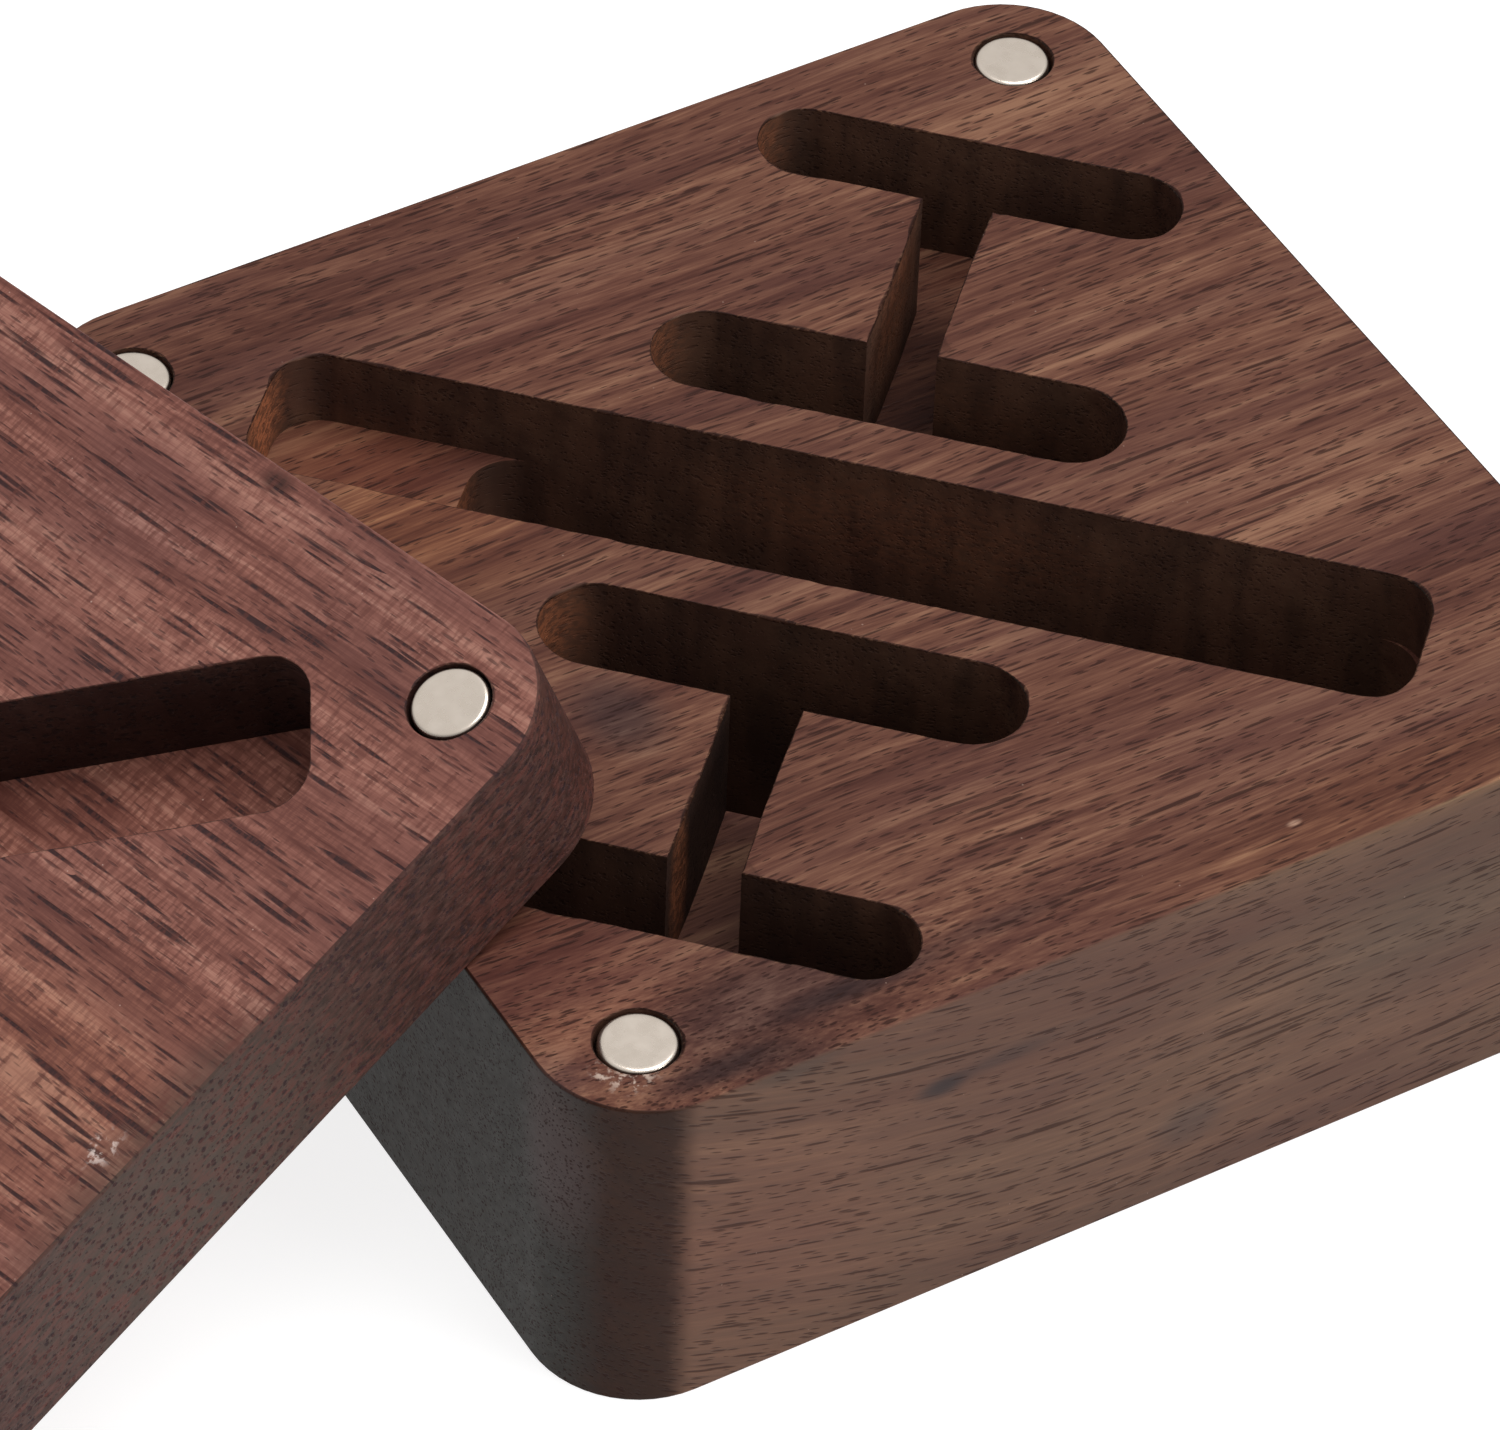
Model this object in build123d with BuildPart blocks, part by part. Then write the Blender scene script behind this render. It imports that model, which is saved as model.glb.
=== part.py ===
"""A walnut cufflink box: a routed base block, a matching lid block taken off and
leaning on the base's edge with its underside up, and the disc magnets of both.

Lengths in millimetres. The origin is the centre of the base's underside, +Z is up.
+X runs along the diagonal that the tie-clip recess lies on, towards the right corner.
+Y runs along the diagonal that the two cufflink pockets lie on, towards the back corner.
"""
from build123d import *
from math import cos, radians, sin, sqrt
import os

# Outline that base and lid share
side = 76.0
corner_radius = 7.2
edge_round = 0.2

# Thicknesses
base_height = 25.4
lid_thickness = 11.4

# Disc magnets, one near each corner, pressed into blind holes
magnet_diameter = 4.8
magnet_thickness = 3.0
magnet_chamfer = 0.2
magnet_inset = 6.0
magnet_recess = 0.05
magnet_clearance = 0.2

# Tie-clip recess: a shallow pocket from corner to corner, and a deeper slot in its floor
clip_width = 10.8
clip_corner_radius = 3.05
clip_margin = 8.4
clip_shallow_depth = 5.6
clip_slot_length = 60.7
clip_slot_depth = 16.0
clip_end_step = 0.4

# Cufflink pockets: a slot for the head, a slot for the toggle and a stem for the post
rib = 3.9
head_slot_length = 30.4
head_slot_width = 7.0
head_slot_depth = 18.0
toggle_slot_length = 27.8
toggle_slot_width = 6.2
toggle_slot_depth = 10.0
post_span = 20.8
stem_width = 4.8
stem_waist = 0.25

# Recess in the lid's underside
lid_skin = 3.3

# How the lid leans: on the upper edge of the front-left side, one corner on the table.
# It slopes up towards the base, rolls about that slope and is turned in its own plane.
# lean_place is how far the touching place lies from the middle of that edge, towards the front.
lean_side_angle = 225.0
lean_slope = 20.7
lean_roll = 1.7
lean_turn = 14.9
lean_place = 22.1
lean_gap = 0.15
table_gap = 0.02

# Places that follow from the sizes above
magnet_radius_out = sqrt(2) * (side / 2 - magnet_inset)
clip_length = 2 * (magnet_radius_out - clip_margin)
clip_slot_x = clip_length / 2 - clip_end_step - clip_slot_length / 2
head_slot_y = clip_width / 2 + rib + head_slot_width / 2
toggle_slot_y = head_slot_y + post_span
magnet_hole_radius = magnet_diameter / 2 + magnet_clearance
magnet_hole_depth = magnet_thickness + magnet_recess
lid_recess_depth = lid_thickness - lid_skin

# The four corners lie on the axes: name, x and y of the magnet there
magnet_places = {
    "right": (magnet_radius_out, 0),
    "back": (0, magnet_radius_out),
    "left": (-magnet_radius_out, 0),
    "front": (0, -magnet_radius_out),
}

os.makedirs("parts", exist_ok=True)


def finish(piece, name):
    """Label a finished piece and write its STEP file."""
    piece.part.label = name
    export_step(piece.part, f"parts/{name}.step")


def leaning_lid_plane():
    """The plane of the lid's outer face as it leans, X along the lid's recess, Z up through the lid.

    The lid touches the table with its lowest rounded corner and the base's rounded edge with the
    rim of its own near side. So the middle of its outer face is where three planes meet: a level
    one that keeps the lowest corner table_gap above the table, one along the face that passes
    lean_gap above the touching place, and one along the near side that ends at that place.
    """
    slope, roll = radians(lean_slope), radians(lean_roll)
    outward = Vector(1, 0, 0).rotate(Axis.Z, lean_side_angle)
    upward = Vector(0, 0, 1)
    edge_way = outward.cross(upward)
    up_slope = upward * sin(slope) - outward * cos(slope)
    normal = (upward * cos(slope) + outward * sin(slope)) * cos(roll) - edge_way * sin(roll)
    recess_angle = radians(lean_turn - 45)
    recess_way = up_slope * cos(recess_angle) + normal.cross(up_slope) * sin(recess_angle)
    near_side = (recess_way - normal.cross(recess_way)) * sqrt(0.5)

    flat_reach = side / 2 - edge_round
    rounding_height = base_height - edge_round
    touching = outward * flat_reach - edge_way * lean_place + upward * rounding_height
    corner_drop = sqrt(2) * (side / 2 - corner_radius) * recess_way.Z
    corner_drop += (corner_radius - edge_round) * sqrt(1 - normal.Z**2)
    level = table_gap + corner_drop + edge_round * (1 - normal.Z)
    along_face = touching.dot(normal) + edge_round + lean_gap
    along_side = touching.dot(near_side) - flat_reach

    meeting = normal.cross(near_side) * level
    meeting += near_side.cross(upward) * along_face
    meeting += upward.cross(normal) * along_side
    centre = meeting * (1 / upward.dot(normal.cross(near_side)))
    return Plane(origin=centre, x_dir=recess_way, z_dir=normal)


lid_outer_face = leaning_lid_plane()
lid_underside = lid_outer_face.offset(lid_thickness)


# Base block
with BuildPart() as base_block:
    with BuildSketch(Plane.XY):
        RectangleRounded(side, side, corner_radius, rotation=45)
    extrude(amount=base_height)
    rims = base_block.faces().filter_by(Axis.Z).edges()
    fillet(rims, edge_round)

    # Tie-clip recess, first its shallow full length and then the slot in its floor
    with BuildSketch(Plane.XY.offset(base_height)):
        RectangleRounded(clip_length, clip_width, clip_corner_radius)
    extrude(amount=-clip_shallow_depth, mode=Mode.SUBTRACT)
    with BuildSketch(Plane.XY.offset(base_height)):
        with Locations((clip_slot_x, 0)):
            RectangleRounded(clip_slot_length, clip_width, clip_corner_radius)
    extrude(amount=-clip_slot_depth, mode=Mode.SUBTRACT)

    # Cufflink pockets, mirrored about the recess
    with BuildSketch(Plane.XY.offset(base_height)):
        with Locations((0, head_slot_y), (0, -head_slot_y)):
            SlotOverall(head_slot_length, head_slot_width)
    extrude(amount=-head_slot_depth, mode=Mode.SUBTRACT)
    with BuildSketch(Plane.XY.offset(base_height)):
        with Locations((0, toggle_slot_y), (0, -toggle_slot_y)):
            SlotOverall(toggle_slot_length, toggle_slot_width)
        with BuildLine():
            near = (stem_width / 2, head_slot_y)
            far = (stem_width / 2, toggle_slot_y)
            waist = (stem_width / 2 - stem_waist, (head_slot_y + toggle_slot_y) / 2)
            ThreePointArc(near, waist, far)
            Line(far, (0, toggle_slot_y))
            Line((0, toggle_slot_y), (0, head_slot_y))
            Line((0, head_slot_y), near)
        stem_half = make_face()
        mirror(stem_half, about=Plane.YZ)
        mirror(about=Plane.XZ)
    extrude(amount=-toggle_slot_depth, mode=Mode.SUBTRACT)

    with BuildSketch(Plane.XY.offset(base_height)):
        with Locations(*magnet_places.values()):
            Circle(magnet_hole_radius)
    extrude(amount=-magnet_hole_depth, mode=Mode.SUBTRACT)
finish(base_block, "base_block")

# Lid block
with BuildPart() as lid_block:
    with BuildSketch(lid_outer_face):
        RectangleRounded(side, side, corner_radius, rotation=45)
    extrude(amount=lid_thickness)
    rims = lid_block.faces().filter_by(Axis(lid_outer_face.origin, lid_outer_face.z_dir)).edges()
    fillet(rims, edge_round)

    with BuildSketch(lid_underside):
        RectangleRounded(clip_length, clip_width, clip_corner_radius)
    extrude(amount=-lid_recess_depth, mode=Mode.SUBTRACT)

    with BuildSketch(lid_underside):
        with Locations(*magnet_places.values()):
            Circle(magnet_hole_radius)
    extrude(amount=-magnet_hole_depth, mode=Mode.SUBTRACT)
finish(lid_block, "lid_block")


def make_magnet(face_plane, place, name):
    """A disc magnet on the floor of its hole, its rim broken by a small chamfer."""
    with BuildPart() as magnet:
        with BuildSketch(face_plane.offset(-magnet_hole_depth)):
            with Locations(place):
                Circle(magnet_diameter / 2)
        extrude(amount=magnet_thickness)
        chamfer(magnet.edges().filter_by(GeomType.CIRCLE), magnet_chamfer)
    finish(magnet, name)


# Magnets of the base, named by the corner they are in
for corner, place in magnet_places.items():
    make_magnet(Plane.XY.offset(base_height), place, f"base_magnet_{corner}")

# Magnets of the lid, named by where the corner lies as the lid leans
lid_corner_names = {"right": "near", "back": "upper", "left": "far", "front": "lower"}
for corner, place in magnet_places.items():
    make_magnet(lid_underside, place, f"lid_magnet_{lid_corner_names[corner]}")
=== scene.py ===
import math

import bmesh
import bpy
from mathutils import Matrix, Vector, noise
from mathutils.geometry import delaunay_2d_cdt


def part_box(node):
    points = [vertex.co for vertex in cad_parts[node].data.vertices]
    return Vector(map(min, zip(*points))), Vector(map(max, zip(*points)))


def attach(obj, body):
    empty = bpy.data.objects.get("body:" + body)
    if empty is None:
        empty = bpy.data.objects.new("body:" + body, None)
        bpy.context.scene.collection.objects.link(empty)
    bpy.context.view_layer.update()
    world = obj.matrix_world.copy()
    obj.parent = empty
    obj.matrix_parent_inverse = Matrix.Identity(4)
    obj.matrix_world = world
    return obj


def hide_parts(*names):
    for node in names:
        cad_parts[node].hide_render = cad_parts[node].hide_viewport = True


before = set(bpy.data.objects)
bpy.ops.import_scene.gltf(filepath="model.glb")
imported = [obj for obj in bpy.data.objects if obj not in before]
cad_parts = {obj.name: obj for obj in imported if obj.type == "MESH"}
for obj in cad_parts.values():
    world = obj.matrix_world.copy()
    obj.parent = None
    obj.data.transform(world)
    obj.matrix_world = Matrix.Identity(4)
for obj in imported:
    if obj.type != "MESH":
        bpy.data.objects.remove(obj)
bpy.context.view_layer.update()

MM = 0.001

# Sizes of the box, as the frame has them
SIDE = 76.0 * MM
CORNER_RADIUS = 7.2 * MM
MAGNET_DIAMETER = 4.8 * MM
MAGNET_THICKNESS = 3.0 * MM
MAGNET_RECESS = 0.05 * MM

# How the pockets' rims are broken: usual width, length of one piece of rim, steps of its rounding
RIM_WIDTH = 0.12 * MM
RIM_STEP = 0.5 * MM
RIM_STEPS = 3
LONGEST_MITRE = 1.45

# Least and greatest break of a rim, as a share of the usual width
LEAST_BREAK = 0.3
WIDEST_BREAK = 2.4
DEEPEST_BREAK = 2.0

# Waves per millimetre in the unevenness of a rim's width, of its depth and of its chips
SLOW_WAVES = 0.8
QUICK_WAVES = 2.4
DEPTH_WAVES = 1.1
CHIP_WAVES = 0.45
DEPTH_SHIFT = Vector((0.0, 31.0, 0.0))
CHIP_SHIFT = Vector((7.0, 0.0, 0.0))
CHIP_THRESHOLD = 0.28
CHIP_GAIN = 8.0

# A block's mesh: corners this close are one, joins this flat dissolve, a sharper edge stays hard
SAME_PLACE = 0.001 * MM
FLAT_JOIN = 0.002
SHARP = math.radians(50)
FLAT_FACE_WEIGHT = 90

# Which faces are pocket walls and floors: how far inside the outline, at what height, how steep
POCKET_MARGIN = 1.0 * MM
SAME_HEIGHT = 0.01 * MM
LEVEL = 0.999
HALF_UPWARD = 0.5
UPRIGHT = 0.02

# A magnet's mesh, and how far it may lie off the middle of its hole
MAGNET_ROUND = 0.28 * MM
MAGNET_ROUND_STEPS = 5
MAGNET_SIDES = 72
MAGNET_PLAY = 0.07 * MM

# Patterns that both blocks' walnut shares, in waves per millimetre along, across and out
SWAY_RATE = (0.022, 0.05, 0.05)
RING_WANDER = 0.012
DRIFT_RATE = (0.03, 0.14, 0.14)
CROWD_RATE = (0.05, 0.35, 0.35)
GLUE_RATE = (1.3, 1.3, 1.3)
ROUTER_RATE = (0.5, 0.5, 0.1)
DUST = ((1.3, 1.3, 1.3), 0.10, 0.10, 0.55)
GRAIN_DEPTH = 0.06 * MM

# The rise of the fibre dies away over this many millimetres from the near side, to this share
RISE_REACH = 18.0
RISE_LEFT = 0.12

# How strongly marks crowd together where the grain is open
CROWD_PULL = 1.4

# Names that the magnets have, in the order right, back, left, front on their block
BASE_MAGNETS = ["base_magnet_right", "base_magnet_back", "base_magnet_left", "base_magnet_front"]
LID_MAGNETS = ["lid_magnet_near", "lid_magnet_upper", "lid_magnet_far", "lid_magnet_lower"]


# Where each block's routed face lies

def middle(node):
    """The middle of a piece's box."""
    low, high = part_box(node)
    return (low + high) / 2


def routed_face(magnets):
    """Matrix from a block's own axes to the frame: X along the recess, Y along the pockets, Z out."""
    right, back, left, front = [middle(name) for name in magnets]
    recess_way = (right - left).normalized()
    pocket_way = (back - front).normalized()
    outward = recess_way.cross(pocket_way).normalized()
    pocket_way = outward.cross(recess_way)
    centre = (right + back + left + front) / 4
    centre += outward * (MAGNET_THICKNESS / 2 + MAGNET_RECESS)
    axes = Matrix((recess_way, pocket_way, outward)).transposed().to_4x4()
    return Matrix.Translation(centre) @ axes


BASE_FACE = routed_face(BASE_MAGNETS)
LID_FACE = routed_face(LID_MAGNETS)


# Tools for the finishes

def srgb(red, green, blue):
    """A colour by its 0 to 255 values on a screen, in the linear values that a finish takes."""
    linear = []
    for value in (red, green, blue):
        share = value / 255
        linear.append(share / 12.92 if share <= 0.04045 else ((share + 0.055) / 1.055) ** 2.4)
    return (*linear, 1.0)


class Bench:
    """A finish with one surface shader, and short calls that add a step to it."""

    def __init__(self, name):
        self.material = bpy.data.materials.new(name)
        self.material.use_nodes = True
        self.tree = self.material.node_tree
        self.tree.nodes.clear()
        output = self.tree.nodes.new("ShaderNodeOutputMaterial")
        self.shader = self.tree.nodes.new("ShaderNodeBsdfPrincipled")
        self.tree.links.new(self.shader.outputs["BSDF"], output.inputs["Surface"])

    def feed(self, socket, value):
        """Lead a step's result, or a plain value, into a socket."""
        if isinstance(value, bpy.types.NodeSocket):
            self.tree.links.new(value, socket)
        elif value is not None:
            socket.default_value = value

    def maths(self, operation, first, second=None, third=None):
        node = self.tree.nodes.new("ShaderNodeMath")
        node.operation = operation
        for socket, value in zip(node.inputs, (first, second, third)):
            self.feed(socket, value)
        return node.outputs[0]

    def vector(self, operation, first, second=None):
        node = self.tree.nodes.new("ShaderNodeVectorMath")
        node.operation = operation
        self.feed(node.inputs[0], first)
        self.feed(node.inputs[1], second)
        gives_number = operation in ("LENGTH", "DOT_PRODUCT")
        return node.outputs["Value" if gives_number else "Vector"]

    def split(self, vector):
        node = self.tree.nodes.new("ShaderNodeSeparateXYZ")
        self.feed(node.inputs[0], vector)
        return node.outputs[0], node.outputs[1], node.outputs[2]

    def join(self, x, y, z):
        node = self.tree.nodes.new("ShaderNodeCombineXYZ")
        for socket, value in zip(node.inputs, (x, y, z)):
            self.feed(socket, value)
        return node.outputs[0]

    def place(self, scale, rotation=(0, 0, 0), location=(0, 0, 0)):
        """Object coordinates, scaled, then turned, then moved."""
        coordinates = self.tree.nodes.new("ShaderNodeTexCoord")
        node = self.tree.nodes.new("ShaderNodeMapping")
        self.feed(node.inputs["Vector"], coordinates.outputs["Object"])
        node.inputs["Scale"].default_value = scale
        node.inputs["Rotation"].default_value = rotation
        node.inputs["Location"].default_value = location
        return node.outputs[0]

    def clouds(self, vector, detail=2.0, roughness=0.5):
        """Cloudy noise between 0 and 1, 0.5 on average."""
        node = self.tree.nodes.new("ShaderNodeTexNoise")
        self.feed(node.inputs["Vector"], vector)
        node.inputs["Scale"].default_value = 1.0
        node.inputs["Detail"].default_value = detail
        node.inputs["Roughness"].default_value = roughness
        return node.outputs["Fac"]

    def cells(self, vector):
        """How far the nearest of many scattered points is, and a colour of its own by chance."""
        node = self.tree.nodes.new("ShaderNodeTexVoronoi")
        self.feed(node.inputs["Vector"], vector)
        node.inputs["Scale"].default_value = 1.0
        return node.outputs["Distance"], node.outputs["Color"]

    def fade(self, value, start, end, low=0.0, high=1.0):
        """low where value is at start, high where it is at end, smooth between."""
        node = self.tree.nodes.new("ShaderNodeMapRange")
        node.interpolation_type = "SMOOTHSTEP"
        self.feed(node.inputs["Value"], value)
        limits = {"From Min": start, "From Max": end, "To Min": low, "To Max": high}
        for socket, number in limits.items():
            self.feed(node.inputs[socket], number)
        return node.outputs[0]

    def tones(self, value, stops):
        """A colour between those of the stops, by where the value lies."""
        node = self.tree.nodes.new("ShaderNodeValToRGB")
        self.feed(node.inputs[0], value)
        elements = node.color_ramp.elements
        while len(elements) < len(stops):
            elements.new(0.5)
        for element, (position, colour) in zip(elements, stops):
            element.position = position
            element.color = colour
        return node.outputs[0]

    def blend(self, amount, under, over, way="MIX"):
        node = self.tree.nodes.new("ShaderNodeMix")
        node.data_type = "RGBA"
        node.blend_type = way
        self.feed(node.inputs["Factor"], amount)
        self.feed(node.inputs[6], under)
        self.feed(node.inputs[7], over)
        return node.outputs[2]

    def spot(self, point, centre, reach):
        """1 in the middle of an oval, 0 past its rim."""
        offset = self.vector("SUBTRACT", point, centre)
        scaled = self.vector("DIVIDE", offset, reach)
        return self.fade(self.vector("LENGTH", scaled), 1.0, 0.2)

    def scatter(self, vector, layer, crowd, ragged):
        """Marks at random places, long where the layer's rate is low: 0 beside a mark, depth in it.

        A layer holds its rate, a mark's greatest width, the share of places that bear a mark, and
        its depth. More are drawn where crowd is high, and ragged frays their rims.
        """
        rate, width, share, depth = layer
        near, chance = self.cells(self.vector("MULTIPLY", vector, rate))
        lot, girth, _ = self.split(chance)
        lot = self.maths("MULTIPLY_ADD", crowd, CROWD_PULL, lot)
        drawn = self.maths("GREATER_THAN", lot, 1.0 + 0.5 * CROWD_PULL - share)
        reach = self.maths("MULTIPLY_ADD", girth, 0.6 * width, 0.4 * width)
        reach = self.maths("MULTIPLY_ADD", reach, drawn, 0.001)
        distance = self.maths("ADD", self.maths("DIVIDE", near, reach), ragged)
        return self.fade(distance, 1.0, 0.5, 0.0, depth)

    def attribute(self, name):
        """A mark that the mesh carries on its faces, 0 or 1."""
        node = self.tree.nodes.new("ShaderNodeAttribute")
        node.attribute_name = name
        return node.outputs["Fac"]

    def relief(self, height, depth, strength):
        node = self.tree.nodes.new("ShaderNodeBump")
        node.inputs["Strength"].default_value = strength
        node.inputs["Distance"].default_value = depth
        self.feed(node.inputs["Height"], height)
        self.feed(self.shader.inputs["Normal"], node.outputs[0])


# Walnut

def grain_place(bench, face, fibre_turn):
    """Millimetres along the fibre, across it and out of the routed face, from that face's middle."""
    turn = Matrix.Rotation(fibre_turn, 3, "Z") @ face.to_3x3().transposed()
    origin = turn @ (face.translation / MM)
    return bench.place((1 / MM,) * 3, turn.to_euler("XYZ"), -origin), turn


def walnut(name, face, fibre_turn, look):
    """Walnut in a block's own millimetres, so the grain runs through from face to face."""
    bench = Bench(name)
    point, turn = grain_place(bench, face, fibre_turn)
    along, across, out = bench.split(point)
    normal = bench.tree.nodes.new("ShaderNodeTexCoord").outputs["Normal"]
    end_facing = bench.maths("ABSOLUTE", bench.vector("DOT_PRODUCT", normal, tuple(turn[0])))
    side_facing = bench.maths("ABSOLUTE", bench.vector("DOT_PRODUCT", normal, tuple(turn[1])))
    cut = bench.attribute("cut")

    # The fibre sways a little, and rises where look says
    sway = bench.clouds(bench.vector("MULTIPLY", point, SWAY_RATE), 1.0)
    sway = bench.maths("MULTIPLY", bench.maths("SUBTRACT", sway, 0.5), look["sway"])
    before = bench.maths("MAXIMUM", bench.maths("SUBTRACT", look["rise_start"], along), 0.0)
    rise = bench.maths("MULTIPLY", bench.maths("MULTIPLY", before, before), -look["rise"])
    near_side = -SIDE / 2 / MM
    share = bench.fade(across, near_side, near_side + RISE_REACH, 1.0, RISE_LEFT)
    rise = bench.maths("MULTIPLY", rise, share)
    across_fibre = bench.maths("ADD", across, sway)
    out_fibre = bench.maths("ADD", bench.maths("ADD", out, sway), rise)
    fibre = bench.join(along, across_fibre, out_fibre)

    # Growth rings about a pith outside the board
    pith_across, pith_out = look["pith"]
    beside_pith = bench.maths("SUBTRACT", across_fibre, pith_across)
    above_pith = bench.maths("SUBTRACT", out_fibre, pith_out)
    from_pith = bench.vector("LENGTH", bench.join(0.0, beside_pith, above_pith))
    ring = bench.maths("MULTIPLY", from_pith, look["ring_rate"])
    wander = bench.maths("MULTIPLY", along, RING_WANDER)
    rings = bench.clouds(bench.join(ring, wander, look["seed"]), 3.0, 0.62)
    streaks = bench.clouds(bench.vector("MULTIPLY", fibre, look["streak_rate"]), 3.0, 0.6)
    hairs = bench.clouds(bench.vector("MULTIPLY", fibre, look["hair_rate"]), 3.0, 0.6)
    ragged = bench.maths("SUBTRACT", hairs, 0.5)
    streaky = bench.maths("SUBTRACT", streaks, 0.5)
    tone = bench.maths("MULTIPLY", bench.maths("SUBTRACT", rings, 0.5), look["ring_share"])
    tone = bench.maths("MULTIPLY_ADD", streaky, look["streak_share"], tone)
    tone = bench.maths("MULTIPLY_ADD", ragged, look["hair_share"], tone)

    # The side along the fibre is plainer than the routed face
    plain = bench.fade(side_facing, 0.3, 0.9)
    contrast = bench.maths("MULTIPLY_ADD", plain, -look["plain"], 1.0)
    tone = bench.maths("MULTIPLY_ADD", tone, contrast, 0.5)
    colour = bench.tones(tone, look["tones"])
    evened = bench.maths("MULTIPLY", plain, look["plain_share"])
    colour = bench.blend(evened, colour, look["plain_tone"])

    # Broad patches that drift towards a darker, redder tone
    drift = bench.clouds(bench.vector("MULTIPLY", fibre, DRIFT_RATE), 2.0)
    tinted = bench.fade(drift, 0.42, 0.68, 0.0, look["drift"])
    colour = bench.blend(tinted, colour, look["drift_tone"])

    # Knots, smudges and paler or darker places, with the grain showing through; some are painted
    # highlight, painted light and painted shade
    swayed = bench.vector("ADD", point, bench.join(0.0, sway, bench.maths("MULTIPLY", sway, 0.5)))
    usual = [(low + high) / 2 for low, high in zip(look["tones"][1][1], look["tones"][2][1])]
    for centre, reach, amount, spot_tone in look["stains_and_painted_light"]:
        spot = bench.maths("MULTIPLY", bench.spot(swayed, centre, reach), amount)
        gain = tuple(wanted / now for wanted, now in zip(spot_tone, usual))
        colour = bench.blend(spot, colour, gain, "MULTIPLY")

    # Where the surface turns across the fibre it drinks the light, its ends most of all
    uncut = bench.maths("MULTIPLY_ADD", cut, -0.8, 1.0)
    turned = bench.maths("MULTIPLY_ADD", ragged, bench.maths("MULTIPLY", end_facing, 1.2), end_facing)
    turning = bench.maths("MULTIPLY", bench.fade(turned, 0.02, 0.30, 0.0, look["turning"]), uncut)
    colour = bench.blend(turning, colour, look["turning_gain"], "MULTIPLY")
    ends = bench.clouds(bench.vector("MULTIPLY", point, look["end_rate"]), 3.0, 0.65)
    end_grain = bench.fade(end_facing, 0.68, 0.995, 0.0, look["end_grain"])
    end_grain = bench.maths("MULTIPLY", end_grain, uncut)
    colour = bench.blend(end_grain, colour, bench.tones(ends, look["end_tones"]))
    # Paler patches over the end grain; on the base, a painted sheen near the front corner
    for centre, reach, amount, pale_tone in look["painted_sheens_and_pale_patches"]:
        spot = bench.maths("MULTIPLY", bench.spot(swayed, centre, reach), amount)
        colour = bench.blend(spot, colour, pale_tone)

    # Pores: short dark tubes along the fibre, dashes on its sides and dots on its ends
    crowd = bench.clouds(bench.vector("MULTIPLY", fibre, CROWD_RATE), 2.0)
    pits = 0.0
    for layer in look["pores"]:
        pits = bench.maths("MAXIMUM", pits, bench.scatter(fibre, layer, crowd, ragged))
    fainter = bench.maths("MULTIPLY_ADD", plain, -look["plain_pores"], 1.0)
    pits = bench.maths("MULTIPLY", pits, fainter)
    colour = bench.blend(pits, colour, look["pore_tone"])

    # Ray marks and fine ticks square to the fibre, in patches
    if look["rays"]:
        marks = bench.clouds(bench.vector("MULTIPLY", point, look["ray_rate"]), 2.0, 0.6)
        patches = bench.fade(drift, 0.35, 0.6, look["rays"], 0.4 * look["rays"])
        marks = bench.maths("MULTIPLY", bench.fade(marks, 0.44, 0.58), patches)
        marks = bench.maths("MAXIMUM", marks, bench.scatter(point, look["ticks"], crowd, ragged))
        colour = bench.blend(marks, colour, look["ray_tone"])

    # Specks of dust
    dust = bench.scatter(point, DUST, 0.5, ragged)
    colour = bench.blend(dust, colour, look["dust_tone"])

    # Pale smears: glue that came up beside a magnet, and a scuff
    for centre, reach in look["glue"]:
        lumps = bench.clouds(bench.vector("MULTIPLY", point, GLUE_RATE), 3.0, 0.65)
        smear = bench.fade(lumps, 0.50, 0.62, 0.0, 0.7)
        smear = bench.maths("MULTIPLY", smear, bench.spot(point, centre, reach))
        colour = bench.blend(smear, colour, look["glue_tone"])

    # Walls darkened as painted shade, with the router's passes in them, a painted shadow in one pocket,
    # end grain torn where the router turned and brightened partly as painted light, and painted light
    # on floors
    passes = bench.clouds(bench.vector("MULTIPLY", point, ROUTER_RATE), 2.0)
    wall_shade = bench.maths("MULTIPLY", cut, look["wall"])
    colour = bench.blend(wall_shade, colour, bench.tones(passes, look["shaded_wall_tones"]))
    # A painted shadow darkening the walls inside a spot
    for centre, reach, amount, spot_tone in look["painted_pocket_shadows"]:
        pocket_shadow = bench.maths("MULTIPLY", bench.spot(point, centre, reach), amount)
        colour = bench.blend(bench.maths("MULTIPLY", pocket_shadow, cut), colour, spot_tone)
    speckle = bench.fade(ends, 0.42, 0.58, 0.3, 1.0)
    # Torn end grain, brightened where the walls face the light: partly painted light
    for centre, reach, amount in look["torn_and_lit"]:
        torn_and_lit = bench.maths("MULTIPLY", speckle, amount)
        torn_and_lit = bench.maths("MULTIPLY", torn_and_lit, bench.spot(point, centre, reach))
        colour = bench.blend(bench.maths("MULTIPLY", torn_and_lit, cut), colour, look["torn_and_lit_tone"])
    # Floors take the bottom gain: above 1 it is painted light
    colour = bench.blend(bench.attribute("floor"), colour, look["bottom"], "MULTIPLY")

    # Broken edges are rubbed pale
    rubbed = bench.fade(hairs, 0.5, 0.75, 0.0, look["rubbed"])
    rubbed = bench.maths("MULTIPLY", rubbed, bench.attribute("rim"))
    colour = bench.blend(rubbed, colour, look["rubbed_tone"])

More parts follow.
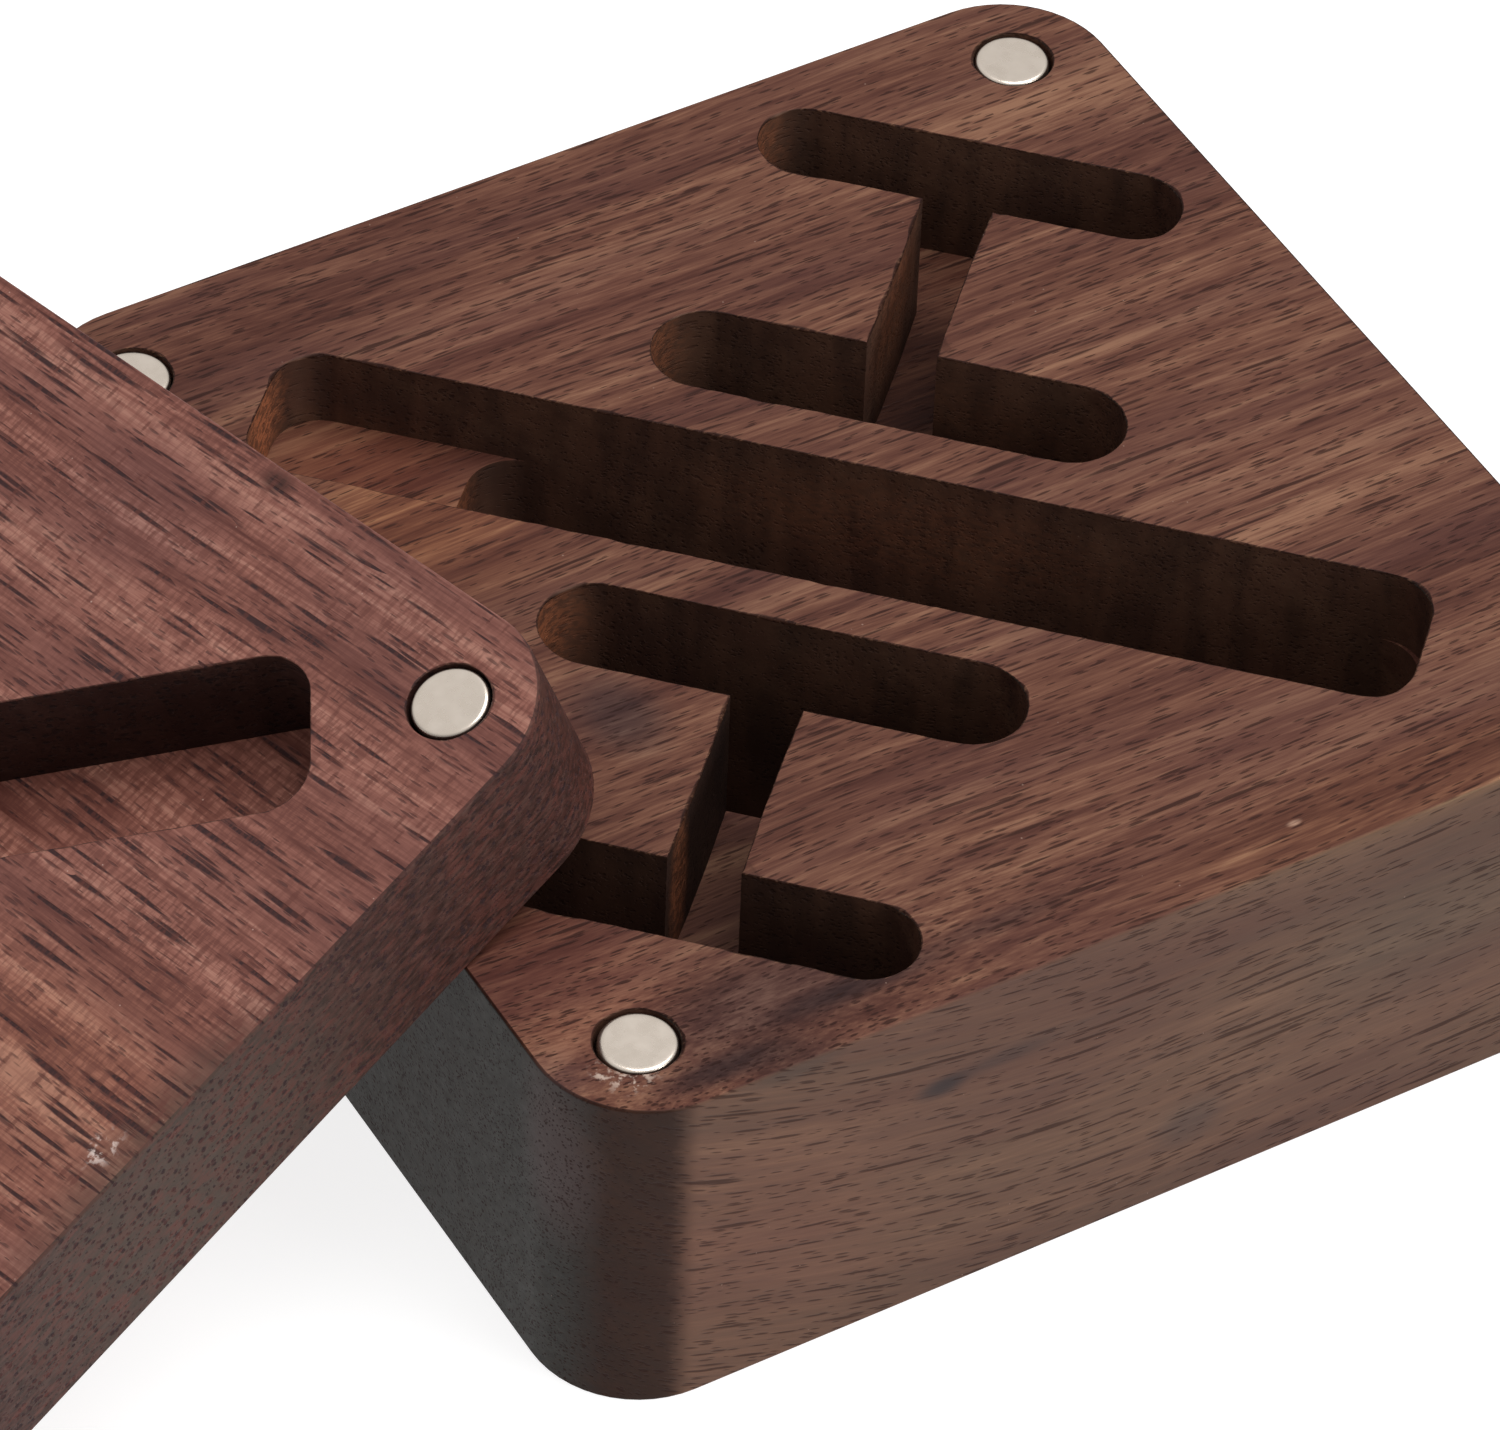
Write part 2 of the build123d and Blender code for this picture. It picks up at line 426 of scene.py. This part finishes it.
    bench.feed(bench.shader.inputs["Base Color"], colour)
    roughness = bench.maths("MULTIPLY_ADD", streaky, 0.25, look["roughness"])
    roughness = bench.maths("MULTIPLY_ADD", pits, 0.2, roughness)
    bench.feed(bench.shader.inputs["Roughness"], roughness)
    bench.shader.inputs["Specular IOR Level"].default_value = look["gloss"]
    height = bench.maths("SUBTRACT", bench.maths("MULTIPLY", hairs, 0.35), pits)
    bench.relief(height, GRAIN_DEPTH, 0.8)
    return bench.material


# The look of each block. A place is along the fibre, across it and out of the routed face, in
# millimetres from that face's middle, and the three numbers after it are how far the mark reaches.

BASE_LOOK = {
    "sway": 3.0, "rise_start": 0.0, "rise": 0.0068, "pith": (60.0, -70.0), "seed": 3.7,
    "ring_rate": 0.42, "ring_share": 0.80,
    "streak_rate": (0.045, 1.0, 1.0), "streak_share": 0.60,
    "hair_rate": (0.24, 4.6, 4.6), "hair_share": 0.60,
    "tones": [
        (0.26, srgb(61, 31, 24)),
        (0.42, srgb(80, 47, 37)),
        (0.56, srgb(99, 64, 50)),
        (0.75, srgb(127, 91, 71)),
    ],
    "plain": 0.15, "plain_share": 0.55, "plain_tone": srgb(95, 76, 62), "plain_pores": 0.15,
    "drift": 0.4, "drift_tone": srgb(74, 44, 40),
    "pores": [
        ((0.60, 4.2, 4.2), 0.46, 0.80, 0.70),
        ((0.22, 2.8, 2.8), 0.38, 0.70, 0.78),
        ((0.075, 1.9, 1.9), 0.36, 0.60, 0.80),
    ],
    "pore_tone": srgb(40, 20, 16),
    "rays": 0.0,
    "dust_tone": srgb(150, 125, 112),
    "stains_and_painted_light": [
        # A knot and darker places on the long side
        ((-14.6, -38.0, -7.4), (2.6, 3.0, 1.3), 0.75, srgb(34, 30, 32)),
        ((-10.5, -38.0, -7.0), (5.5, 3.0, 1.0), 0.45, srgb(44, 34, 34)),
        ((3.4, -38.0, -19.4), (3.5, 3.0, 2.5), 0.40, srgb(50, 40, 40)),
        ((-24.6, -38.0, -0.6), (4.5, 2.0, 1.2), 0.40, srgb(52, 42, 38)),
        # Dark figure beside the front magnet
        ((-28.5, -36.6, 0.0), (6.5, 1.7, 1.2), 0.75, srgb(44, 30, 30)),
        ((-18.5, -34.6, 0.0), (8.5, 1.3, 1.2), 0.70, srgb(46, 31, 30)),
        ((-8.5, -34.0, 0.0), (6.5, 1.2, 1.2), 0.45, srgb(52, 34, 32)),
        ((-24.0, -33.0, 0.0), (14.0, 5.5, 2.0), 0.90, srgb(59, 35, 31)),
        # Warmer and darker places on the routed face
        ((-33.0, -26.0, 0.0), (9.0, 15.0, 3.0), 0.40, srgb(88, 45, 36)),
        ((-19.8, -8.2, 0.0), (3.9, 5.0, 1.5), 0.85, srgb(62, 42, 38)),
        ((-9.0, 24.5, 0.0), (15.0, 8.0, 2.0), 0.35, srgb(82, 46, 38)),
        ((-22.0, 13.0, 0.0), (12.0, 11.0, 8.0), 0.55, srgb(108, 64, 42)),
        ((24.0, -8.0, 0.0), (13.0, 7.0, 2.0), 0.30, srgb(86, 52, 42)),
        ((10.0, -27.0, 0.0), (17.0, 7.0, 2.0), 0.35, srgb(82, 48, 38)),
        ((20.0, -36.0, 0.0), (24.0, 4.5, 1.5), 0.40, srgb(112, 73, 51)),
        # A painted highlight along the long side's rim, and a pale chip near it
        ((28.0, -37.9, -0.05), (11.0, 0.25, 0.3), 0.50, srgb(150, 112, 88)),
        ((11.0, -35.0, 0.0), (0.7, 0.28, 0.5), 0.90, srgb(170, 140, 122)),
        # Darker and warmer halves of the long side
        ((20.0, -38.0, -10.0), (14.0, 4.0, 9.0), 0.50, srgb(74, 53, 44)),
        ((-27.0, -38.0, -15.0), (15.0, 4.0, 16.0), 0.60, srgb(98, 58, 45)),
        # Painted light on the ledge in the clip recess, and painted shade on the floors of the steps in
        # the pockets
        ((-21.6, 21.6, -5.6), (10.0, 10.0, 2.5), 0.70, srgb(112, 66, 46)),
        ((16.4, 16.4, -10.0), (14.0, 14.0, 2.5), 1.00, srgb(53, 27, 19)),
        ((-16.4, -16.4, -10.0), (14.0, 14.0, 2.5), 0.50, srgb(64, 40, 31)),
    ],
    "turning": 0.95, "turning_gain": (0.19, 0.13, 0.10, 1.0),
    "end_rate": (1.5, 1.2, 2.6), "end_grain": 0.88,
    "end_tones": [(0.36, srgb(39, 39, 36)), (0.64, srgb(52, 51, 48))],
    # A painted pinkish sheen on the end-grain side near the front corner
    "painted_sheens_and_pale_patches": [((-37.6, -32.4, -6.0), (4.0, 4.2, 10.0), 0.45, srgb(86, 68, 68))],
    "glue": [
        ((-33.6, -34.4, 0.0), (2.2, 1.5, 0.6)),
        ((-35.0, -33.2, 0.0), (0.9, 1.3, 0.6)),
    ],
    "glue_tone": srgb(196, 176, 162),
    # Pocket walls darkened: painted shade, with the router's passes
    "wall": 0.62, "shaded_wall_tones": [(0.40, srgb(44, 29, 24)), (0.60, srgb(72, 48, 37))],
    # A painted shadow darkening the front pocket's walls
    "painted_pocket_shadows": [((-15.0, -15.0, -9.0), (18.0, 18.0, 40.0), 0.80, srgb(20, 12, 11))],
    # Torn end grain at the pockets' ends, brightened partly as painted light where the walls face the
    # light
    "torn_and_lit": [
        ((-26.1, 26.1, -2.5), (5.0, 5.0, 6.0), 0.95),
        ((-17.1, 17.1, -7.5), (4.5, 4.5, 6.0), 0.60),
        ((-18.9, 0.9, -3.0), (4.2, 4.2, 8.0), 0.65),
        ((-1.7, 19.8, -3.0), (4.2, 4.2, 8.0), 0.40),
        ((13.9, 33.6, -3.0), (3.8, 3.8, 7.0), 0.40),
        ((-21.4, -17.9, -5.0), (2.5, 2.5, 8.0), 0.60),
        ((6.0, 1.0, -5.0), (19.0, 19.0, 6.0), 0.14),
        ((14.9, 18.2, -3.0), (7.5, 7.5, 7.0), 0.32),
    ],
    "torn_and_lit_tone": srgb(154, 92, 62),
    "bottom": (1.0, 1.0, 1.0, 1.0),
    "rubbed": 0.35, "rubbed_tone": srgb(140, 100, 78),
    "roughness": 0.56, "gloss": 0.12,
}

LID_LOOK = {
    "sway": 2.0, "rise_start": -60.0, "rise": 0.0, "pith": (-60.0, -60.0), "seed": 8.2,
    "ring_rate": 0.35, "ring_share": 0.72,
    "streak_rate": (0.05, 0.8, 0.8), "streak_share": 0.52,
    "hair_rate": (0.20, 4.5, 4.5), "hair_share": 0.65,
    "tones": [
        (0.26, srgb(78, 41, 35)),
        (0.42, srgb(107, 65, 56)),
        (0.55, srgb(129, 83, 72)),
        (0.70, srgb(155, 110, 96)),
    ],
    "plain": 0.0, "plain_share": 0.0, "plain_tone": srgb(100, 66, 56), "plain_pores": 0.0,
    "drift": 0.45, "drift_tone": srgb(94, 58, 54),
    "pores": [
        ((0.55, 3.4, 3.4), 0.48, 0.80, 0.60),
        ((0.13, 2.0, 2.0), 0.44, 0.78, 0.95),
        ((0.10, 1.5, 1.5), 0.42, 0.86, 0.95),
    ],
    "pore_tone": srgb(44, 27, 29),
    "ray_rate": (3.0, 0.7, 3.0), "rays": 0.60, "ray_tone": srgb(88, 49, 42),
    "ticks": ((1.5, 0.35, 1.5), 0.40, 0.95, 0.70),
    "dust_tone": srgb(185, 160, 150),
    "stains_and_painted_light": [
        ((12.2, 37.0, 0.0), (1.8, 1.1, 1.0), 0.85, srgb(48, 27, 22)),
        ((6.0, 31.0, 0.0), (10.0, 5.0, 2.0), 0.30, srgb(84, 54, 54)),
        ((24.0, 34.0, 0.0), (9.0, 6.0, 2.0), 0.30, srgb(96, 60, 54)),
        ((30.0, 0.0, 0.0), (17.0, 12.0, 2.0), 0.45, srgb(131, 83, 64)),
    ],
    "turning": 0.92, "turning_gain": (0.16, 0.13, 0.11, 1.0),
    "end_rate": (2.6, 0.9, 3.2), "end_grain": 0.85,
    "end_tones": [(0.36, srgb(38, 22, 18)), (0.50, srgb(55, 36, 32)), (0.64, srgb(78, 54, 48))],
    "painted_sheens_and_pale_patches": [((38.0, 1.0, -6.0), (4.0, 20.0, 14.0), 0.75, srgb(68, 56, 48))],
    "glue": [((35.9, -1.2, 0.0), (1.3, 2.0, 0.6))], "glue_tone": srgb(214, 196, 188),
    # Pocket walls darkened almost to black: painted shade
    "wall": 0.85, "shaded_wall_tones": [(0.40, srgb(26, 14, 13)), (0.60, srgb(38, 22, 19))],
    "painted_pocket_shadows": [],
    "torn_and_lit": [],
    # Painted light on the pocket floors
    "bottom": (1.34, 1.34, 1.30, 1.0),
    "rubbed": 0.35, "rubbed_tone": srgb(150, 110, 92),
    "roughness": 0.56, "gloss": 0.19,
}


def nickel():
    """Bright nickel plate on the magnets, with fine rubbing marks."""
    bench = Bench("nickel_plate")
    point = bench.place((1 / MM,) * 3)
    haze = bench.clouds(bench.vector("MULTIPLY", point, (0.9, 0.9, 0.9)), 3.0)
    marks = bench.clouds(bench.vector("MULTIPLY", point, (1.2, 14.0, 2.0)), 2.0)
    colour = bench.tones(haze, [(0.3, (0.66, 0.58, 0.50, 1)), (0.7, (0.71, 0.63, 0.55, 1))])
    bench.feed(bench.shader.inputs["Base Color"], colour)
    bench.shader.inputs["Metallic"].default_value = 1.0
    bench.feed(bench.shader.inputs["Roughness"], bench.fade(haze, 0.3, 0.7, 0.25, 0.31))
    bench.relief(marks, 0.001 * MM, 0.1)
    return bench.material


# The two blocks

def settled(piece):
    """The piece's mesh with its modifiers worked in, and the modifiers taken off."""
    evaluated = piece.evaluated_get(bpy.context.evaluated_depsgraph_get())
    mesh = bpy.data.meshes.new_from_object(evaluated)
    piece.modifiers.clear()
    return mesh


def depth_inside(place):
    """How far a place lies inside the block's rounded outline, seen square to the routed face."""
    along = abs(place.x + place.y) / math.sqrt(2) - (SIDE / 2 - CORNER_RADIUS)
    across = abs(place.y - place.x) / math.sqrt(2) - (SIDE / 2 - CORNER_RADIUS)
    beyond = math.hypot(max(along, 0.0), max(across, 0.0))
    return CORNER_RADIUS - beyond - min(max(along, across), 0.0)


def divide(edge, pieces):
    """Divide an edge into equal pieces with new corners along it."""
    start = edge.verts[0]
    for left in range(pieces, 1, -1):
        _, corner = bmesh.utils.edge_split(edge, start, 1 / left)
        edge = next(other for other in corner.link_edges if start not in other.verts)
        start = corner


def break_rims(shell, face):
    """Round over the open rims of the pockets by an uneven amount, with a small chip here and there."""
    outward = face.to_3x3() @ Vector((0, 0, 1))

    def open_rims():
        rims = []
        for edge in shell.edges:
            if edge.is_boundary and abs(edge.link_faces[0].normal.dot(outward)) < UPRIGHT:
                rims.append(edge)
        return rims

    for edge in open_rims():
        pieces = round(edge.calc_length() / RIM_STEP)
        if pieces > 1:
            divide(edge, pieces)
    rims = open_rims()
    shell.normal_update()
    into_wood = {}
    for edge in rims:
        for corner in edge.verts:
            into_wood.setdefault(corner, []).append(-edge.link_faces[0].normal)
    columns = {}
    for corner, ways in into_wood.items():
        way = sum(ways, Vector()).normalized()
        mitre = min(1 / max(way.dot(ways[0]), 0.6), LONGEST_MITRE)
        here = corner.co / MM
        chip = noise.noise(here * CHIP_WAVES + CHIP_SHIFT) - CHIP_THRESHOLD
        chip = max(chip, 0.0) * CHIP_GAIN
        slow = noise.noise(here * SLOW_WAVES)
        quick = noise.noise(here * QUICK_WAVES)
        wide = 0.85 + 0.8 * slow + 0.5 * quick + chip
        deep = 0.85 + 0.7 * noise.noise(here * DEPTH_WAVES + DEPTH_SHIFT) + 0.5 * chip
        wide = RIM_WIDTH * min(max(wide, LEAST_BREAK), WIDEST_BREAK / mitre ** 2)
        deep = RIM_WIDTH * min(max(deep, LEAST_BREAK), DEEPEST_BREAK)
        top = corner.co.copy()
        column = [corner]
        for level in range(1, RIM_STEPS + 1):
            angle = math.pi / 2 * level / RIM_STEPS
            back = way * (mitre * wide * (1 - math.cos(angle)))
            down = outward * (deep * (1 - math.sin(angle)))
            column.append(shell.verts.new(top + back - down))
        corner.co = top - outward * deep
        columns[corner] = column
    rubbed = shell.faces.layers.float["rim"]
    for edge in rims:
        turn = edge.link_loops[0]
        first, second = columns[turn.vert], columns[turn.link_loop_next.vert]
        for level in range(RIM_STEPS):
            strip = shell.faces.new((second[level], first[level], first[level + 1], second[level + 1]))
            strip[rubbed] = 1.0


def close_face(shell, face):
    """Close a block's open routed face with flat triangles, leaving the pockets open."""
    to_face = face.inverted()
    border = [edge for edge in shell.edges if edge.is_boundary]
    corners = list(dict.fromkeys(corner for edge in border for corner in edge.verts))
    number = {corner: index for index, corner in enumerate(corners)}
    flat = [(to_face @ corner.co).to_2d() / MM for corner in corners]
    lines = [(number[edge.verts[0]], number[edge.verts[1]]) for edge in border]
    points, _, triangles, origins, _, _ = delaunay_2d_cdt(flat, lines, [], 0, 1e-5)
    found = []
    for point, origin in zip(points, origins):
        found.append(corners[origin[0]] if origin else shell.verts.new(face @ (point * MM).to_3d()))
    for triangle in triangles:
        centre = sum((points[index] for index in triangle), Vector((0, 0))) / 3
        crossings = 0
        for first, second in lines:
            start, end = flat[first], flat[second]
            if (start.y > centre.y) != (end.y > centre.y):
                share = (centre.y - start.y) / (end.y - start.y)
                crossings += centre.x < start.x + share * (end.x - start.x)
        if crossings % 2:
            shell.faces.new([found[index] for index in triangle])


def dressed_block(node, name, face, finish, body):
    """A copy of a block with its rims broken unevenly, as the router and sanding leave them."""
    to_face = face.inverted()
    outward = face.to_3x3() @ Vector((0, 0, 1))
    shell = bmesh.new()
    shell.from_mesh(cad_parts[node].data)
    bmesh.ops.remove_doubles(shell, verts=shell.verts, dist=SAME_PLACE)
    bmesh.ops.dissolve_limit(shell, angle_limit=FLAT_JOIN, verts=shell.verts, edges=shell.edges)
    cut = shell.faces.layers.float.new("cut")
    bottom = shell.faces.layers.float.new("floor")
    shell.faces.layers.float.new("rim")
    routed = []
    for wall in shell.faces:
        here = to_face @ wall.calc_center_median()
        up = wall.normal.dot(outward)
        if up > LEVEL and abs(here.z) < SAME_HEIGHT:
            routed.append(wall)
        inside = depth_inside(here) > POCKET_MARGIN and up > -LEVEL
        wall[cut] = float(inside and up < HALF_UPWARD)
        wall[bottom] = float(inside and up > HALF_UPWARD)
    bmesh.ops.delete(shell, geom=routed, context="FACES_KEEP_BOUNDARY")
    break_rims(shell, face)
    close_face(shell, face)
    shell.normal_update()
    for edge in shell.edges:
        edge.smooth = edge.calc_face_angle(0.0) < SHARP
    mesh = bpy.data.meshes.new(name)
    shell.to_mesh(mesh)
    shell.free()
    mesh.materials.append(finish)
    mesh.polygons.foreach_set("use_smooth", [True] * len(mesh.polygons))
    block = bpy.data.objects.new(name, mesh)
    bpy.context.scene.collection.objects.link(block)
    weighing = block.modifiers.new("flat faces lead", "WEIGHTED_NORMAL")
    weighing.keep_sharp = True
    weighing.weight = FLAT_FACE_WEIGHT
    block.data = settled(block)
    block.data.name = name
    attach(block, body)
    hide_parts(node)


# The magnets

def magnet_disc(finish):
    """One disc with a rounded rim, its flat face at height 0 and its body below."""
    radius = MAGNET_DIAMETER / 2
    profile = [(radius * 0.4, 0.0), (radius * 0.8, 0.0)]
    for step in range(MAGNET_ROUND_STEPS + 1):
        angle = math.pi / 2 * step / MAGNET_ROUND_STEPS
        reach = radius - MAGNET_ROUND * (1 - math.sin(angle))
        profile.append((reach, -MAGNET_ROUND * (1 - math.cos(angle))))
    profile.append((radius, -MAGNET_THICKNESS + MAGNET_ROUND))
    profile.append((radius - MAGNET_ROUND, -MAGNET_THICKNESS))
    shell = bmesh.new()
    rings = []
    for reach, height in profile:
        ring = []
        for step in range(MAGNET_SIDES):
            angle = 2 * math.pi * step / MAGNET_SIDES
            ring.append(shell.verts.new((reach * math.cos(angle), reach * math.sin(angle), height)))
        rings.append(ring)
    for upper, lower in zip(rings, rings[1:]):
        for step in range(MAGNET_SIDES):
            after = (step + 1) % MAGNET_SIDES
            shell.faces.new((upper[step], lower[step], lower[after], upper[after]))
    shell.faces.new(rings[0])
    shell.faces.new(list(reversed(rings[-1])))
    mesh = bpy.data.meshes.new("magnet_disc")
    shell.to_mesh(mesh)
    shell.free()
    mesh.materials.append(finish)
    mesh.shade_smooth()
    disc = bpy.data.objects.new("magnet_disc", mesh)
    bpy.context.scene.collection.objects.link(disc)
    return disc


def corner_tree(finish):
    """Nodes that set one disc at each corner, a little off the middle of its hole."""
    tree = bpy.data.node_groups.new("corner magnets", "GeometryNodeTree")
    kinds = {
        "Disc": "NodeSocketObject",
        "Reach": "NodeSocketFloat",
        "Play": "NodeSocketFloat",
        "Seed": "NodeSocketInt",
    }
    sockets = {}
    for label, kind in kinds.items():
        sockets[label] = tree.interface.new_socket(label, in_out="INPUT", socket_type=kind).identifier
    tree.interface.new_socket("Geometry", in_out="OUTPUT", socket_type="NodeSocketGeometry")
    add = tree.nodes.new
    link = tree.links.new
    entry = add("NodeGroupInput")
    leave = add("NodeGroupOutput")
    corners = add("GeometryNodeMeshCircle")
    corners.inputs["Vertices"].default_value = 4
    link(entry.outputs["Reach"], corners.inputs["Radius"])
    drift = add("FunctionNodeRandomValue")
    drift.data_type = "FLOAT_VECTOR"
    drift.inputs["Min"].default_value = (-1, -1, 0)
    drift.inputs["Max"].default_value = (1, 1, 0)
    link(entry.outputs["Seed"], drift.inputs["Seed"])
    slip = add("ShaderNodeVectorMath")
    slip.operation = "SCALE"
    link(drift.outputs["Value"], slip.inputs[0])
    link(entry.outputs["Play"], slip.inputs["Scale"])
    moved = add("GeometryNodeSetPosition")
    link(corners.outputs["Mesh"], moved.inputs["Geometry"])
    link(slip.outputs[0], moved.inputs["Offset"])
    disc = add("GeometryNodeObjectInfo")
    link(entry.outputs["Disc"], disc.inputs["Object"])
    placed = add("GeometryNodeInstanceOnPoints")
    link(moved.outputs["Geometry"], placed.inputs["Points"])
    link(disc.outputs["Geometry"], placed.inputs["Instance"])
    real = add("GeometryNodeRealizeInstances")
    link(placed.outputs["Instances"], real.inputs["Geometry"])
    plated = add("GeometryNodeSetMaterial")
    plated.inputs["Material"].default_value = finish
    link(real.outputs["Geometry"], plated.inputs["Geometry"])
    link(plated.outputs["Geometry"], leave.inputs["Geometry"])
    return tree, sockets


def magnet_set(name, disc, tree, sockets, face, nodes, body, seed):
    """The four discs of one block as one piece, set into its routed face."""
    piece = bpy.data.objects.new(name, bpy.data.meshes.new(name))
    bpy.context.scene.collection.objects.link(piece)
    setting = piece.modifiers.new("corner magnets", "NODES")
    setting.node_group = tree
    reach = (middle(nodes[0]) - middle(nodes[2])).length / 2
    for label, value in (("Disc", disc), ("Reach", reach), ("Play", MAGNET_PLAY), ("Seed", seed)):
        setting[sockets[label]] = value
    mesh = settled(piece)
    mesh.transform(face @ Matrix.Translation((0, 0, -MAGNET_RECESS)))
    piece.data = mesh
    mesh.name = name
    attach(piece, body)
    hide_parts(*nodes)


base_walnut = walnut("walnut_base", BASE_FACE, math.radians(-45), BASE_LOOK)
lid_walnut = walnut("walnut_lid", LID_FACE, math.radians(45), LID_LOOK)
plate = nickel()
dressed_block("base_block", "base_body", BASE_FACE, base_walnut, "base")
dressed_block("lid_block", "lid_body", LID_FACE, lid_walnut, "lid")
disc = magnet_disc(plate)
tree, sockets = corner_tree(plate)
magnet_set("base_discs", disc, tree, sockets, BASE_FACE, BASE_MAGNETS, "base", 4)
magnet_set("lid_discs", disc, tree, sockets, LID_FACE, LID_MAGNETS, "lid", 9)
bpy.data.objects.remove(disc)


# Studio: a pale floor, soft light all round and a little more from above and from the right

FLOOR_RADIUS = 3.0
FLOOR_GLOW = 0.82
GLOW_BELOW = 0.25
GLOW_ABOVE = 0.85
GLOW_WAY = Vector((-0.10, 0.15, 0.95)).normalized()


def floor():
    """Pale paper that glows enough to look white from the camera."""
    bench = Bench("floor_paper")
    point = bench.place((1, 1, 1))
    shade = bench.clouds(bench.vector("MULTIPLY", point, (3.0, 3.0, 3.0)), 2.0)
    paper = bench.tones(shade, [(0.3, (0.34, 0.34, 0.34, 1)), (0.7, (0.37, 0.37, 0.37, 1))])
    bench.feed(bench.shader.inputs["Base Color"], paper)
    bench.shader.inputs["Roughness"].default_value = 0.9
    bench.shader.inputs["Specular IOR Level"].default_value = 0.1
    bench.shader.inputs["Emission Color"].default_value = (1.0, 1.0, 1.0, 1)
    bench.shader.inputs["Emission Strength"].default_value = FLOOR_GLOW
    sheet = bmesh.new()
    bmesh.ops.create_circle(sheet, cap_ends=True, segments=96, radius=FLOOR_RADIUS)
    mesh = bpy.data.meshes.new("floor")
    sheet.to_mesh(mesh)
    sheet.free()
    mesh.materials.append(bench.material)
    sheet_object = bpy.data.objects.new("floor", mesh)
    bpy.context.scene.collection.objects.link(sheet_object)


def softbox(name, place, aim, width, height, power):
    """A white panel of light at a place, facing another."""
    light = bpy.data.lights.new(name, "AREA")
    light.shape = "RECTANGLE"
    light.size = width
    light.size_y = height
    light.energy = power
    lamp = bpy.data.objects.new(name, light)
    lamp.location = place
    lamp.rotation_euler = (Vector(aim) - Vector(place)).to_track_quat("-Z", "Y").to_euler()
    bpy.context.scene.collection.objects.link(lamp)


def studio_walls():
    """Light from all round, brighter from above."""
    world = bpy.data.worlds.new("studio")
    world.use_nodes = True
    tree = world.node_tree
    background = tree.nodes["Background"]
    coordinates = tree.nodes.new("ShaderNodeTexCoord")
    facing = tree.nodes.new("ShaderNodeVectorMath")
    facing.operation = "DOT_PRODUCT"
    tree.links.new(coordinates.outputs["Generated"], facing.inputs[0])
    facing.inputs[1].default_value = GLOW_WAY
    glow = tree.nodes.new("ShaderNodeMapRange")
    glow.interpolation_type = "SMOOTHSTEP"
    glow.inputs["From Min"].default_value = -0.1
    glow.inputs["From Max"].default_value = 1.0
    glow.inputs["To Min"].default_value = GLOW_BELOW
    glow.inputs["To Max"].default_value = GLOW_ABOVE
    tree.links.new(facing.outputs["Value"], glow.inputs["Value"])
    tree.links.new(glow.outputs[0], background.inputs["Strength"])
    background.inputs["Color"].default_value = (1.0, 0.99, 0.98, 1)
    bpy.context.scene.world = world


floor()
studio_walls()
softbox("overhead", (0.25, 0.10, 1.00), (0, 0, 0), 0.7, 0.7, 7.5)
softbox("right_side", (0.95, -0.25, 0.35), (0, 0, 0.01), 0.45, 0.45, 3.6)
bpy.context.scene.view_settings.view_transform = "Standard"


# Camera, from the same spot as the photograph

SENSOR_WIDTH = 36.0
FOCAL_LENGTH = 215.14
EYE_PLACE = Vector((87.78, -387.13, 405.27)) * MM
EYE_FORWARD = Vector((-0.16466, 0.68773, -0.70705))
EYE_RIGHTWARD = Vector((0.96505, 0.26049, 0.02863))


def camera():
    """The camera at the photograph's spot, looking the same way."""
    lens = bpy.data.cameras.new("camera")
    lens.sensor_width = SENSOR_WIDTH
    lens.lens = FOCAL_LENGTH
    lens.clip_start = 0.01
    lens.clip_end = 20.0
    eye = bpy.data.objects.new("camera", lens)
    forward = EYE_FORWARD.normalized()
    rightward = (EYE_RIGHTWARD - forward * EYE_RIGHTWARD.dot(forward)).normalized()
    upward = rightward.cross(forward)
    axes = Matrix((rightward, upward, -forward)).transposed().to_4x4()
    eye.matrix_world = Matrix.Translation(EYE_PLACE) @ axes
    bpy.context.scene.collection.objects.link(eye)
    bpy.context.scene.camera = eye


camera()
